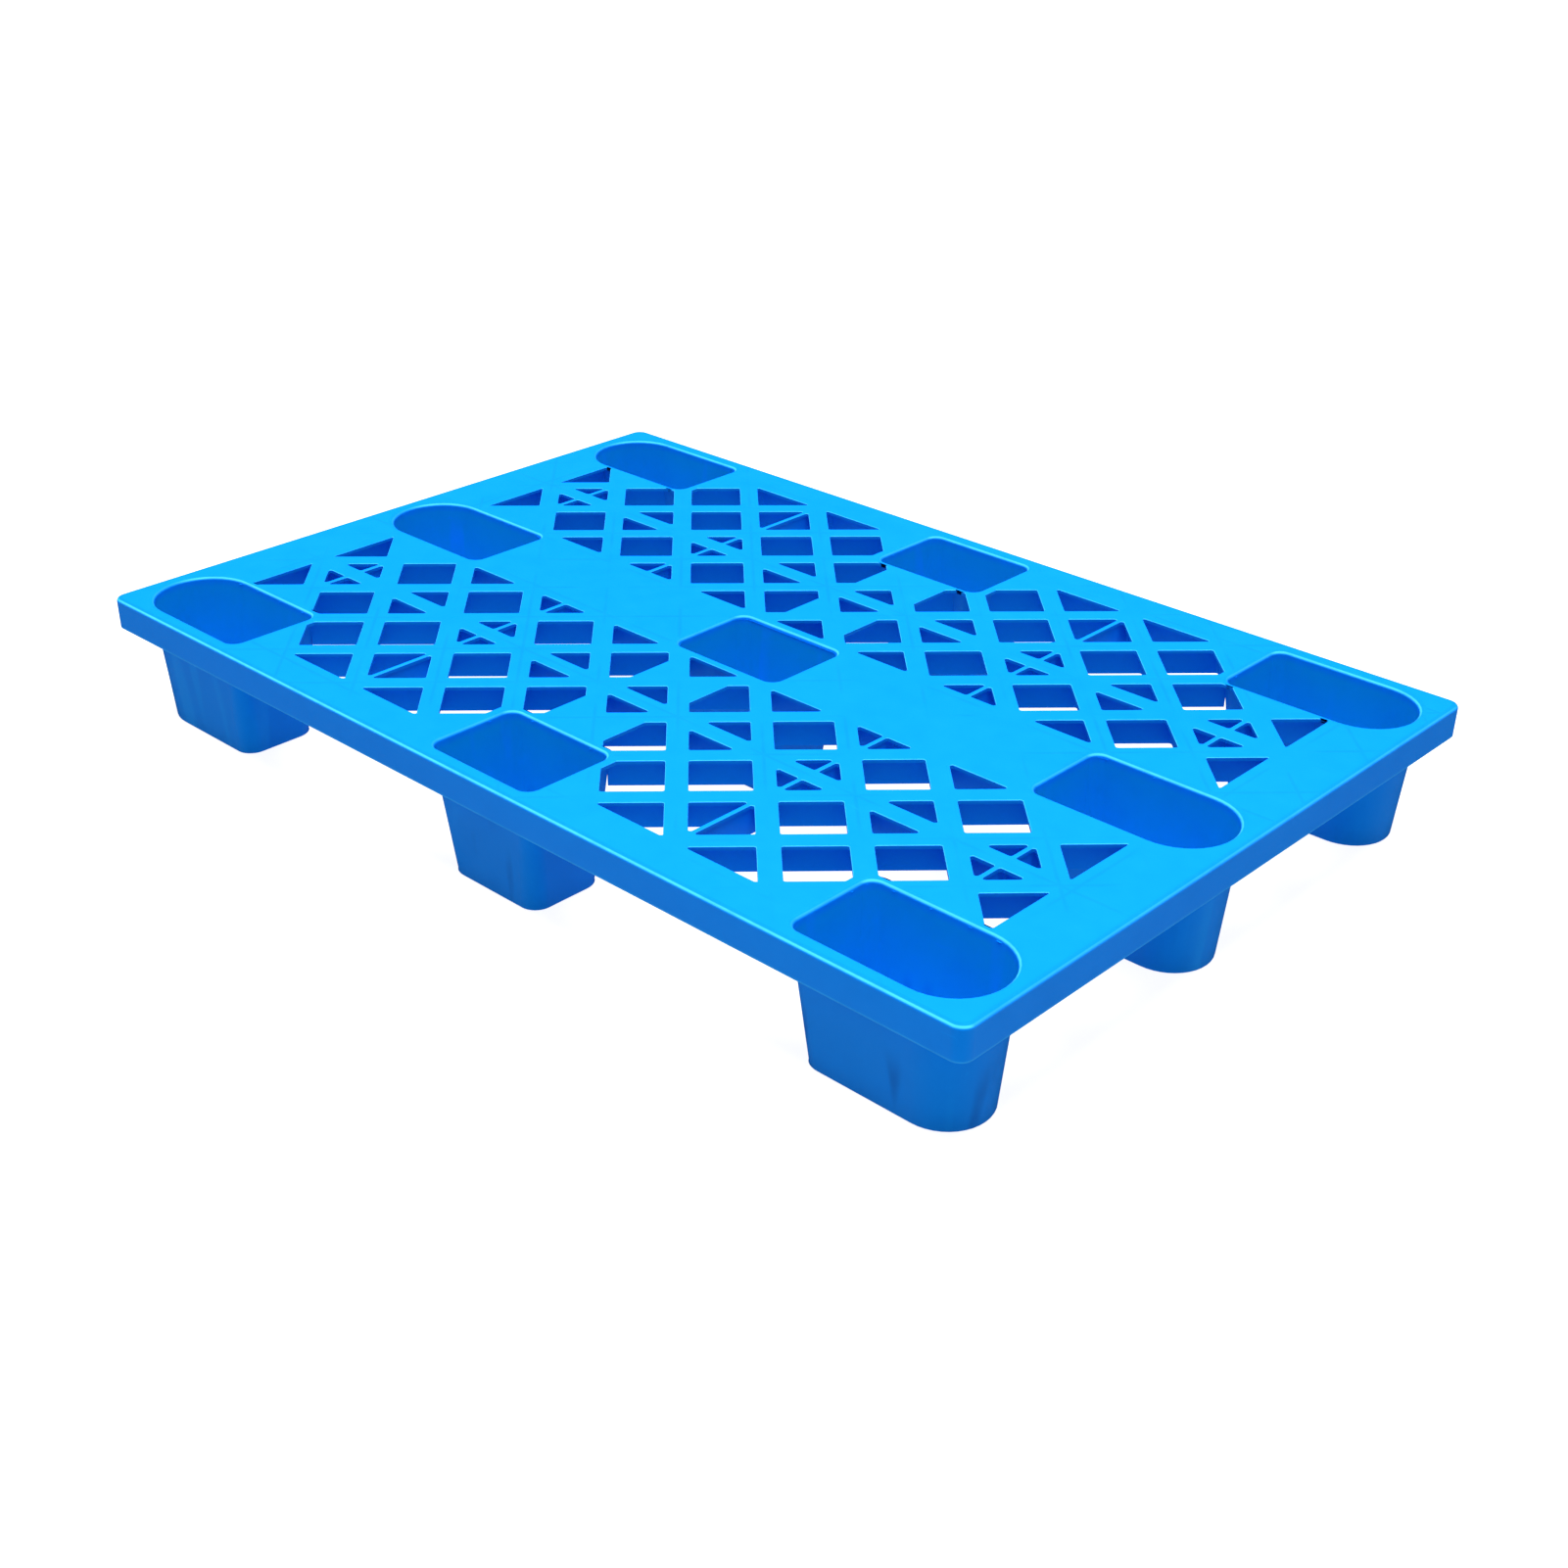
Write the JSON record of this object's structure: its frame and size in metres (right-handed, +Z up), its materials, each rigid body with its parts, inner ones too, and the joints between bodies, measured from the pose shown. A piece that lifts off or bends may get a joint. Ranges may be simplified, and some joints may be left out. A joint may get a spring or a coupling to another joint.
{
  "type": "plastic pallet",
  "caption": "Nestable plastic pallet: rectangular deck with an open diamond lattice, a skirt round the edge and hollow tapered leg cups that open through the deck.",
  "frame": {"origin": "middle of the footprint, at the level of the floor the feet stand on", "axes": "+X along the long side, +Y along the short side, +Z up through the deck"},
  "size_m": [1.2, 0.8, 0.14],
  "materials": {
    "deck": "bright blue moulded polyethylene, low sheen",
    "rim": "bright blue moulded polyethylene, low sheen",
    "ribs": "bright blue moulded polyethylene, low sheen",
    "legs": "bright blue moulded polyethylene, low sheen"
  },
  "bodies": {
    "root": {"rim_front": "rim", "rim_back": "rim", "rim_left": "rim", "rim_right": "rim", "deck_centre_band": "deck", "deck_grille_front_left": "deck", "deck_grille_front_right": "deck", "deck_grille_back_left": "deck", "deck_grille_back_right": "deck", "ribs_band_left": "ribs", "ribs_band_right": "ribs", "ribs_front_left": "ribs", "ribs_front_right": "ribs", "ribs_back_left": "ribs", "ribs_back_right": "ribs", "leg_front_left": "legs", "leg_front_middle": "legs", "leg_front_right": "legs", "leg_centre_left": "legs", "leg_centre_middle": "legs", "leg_centre_right": "legs", "leg_back_left": "legs", "leg_back_middle": "legs", "leg_back_right": "legs"}
  },
  "joints": []
}
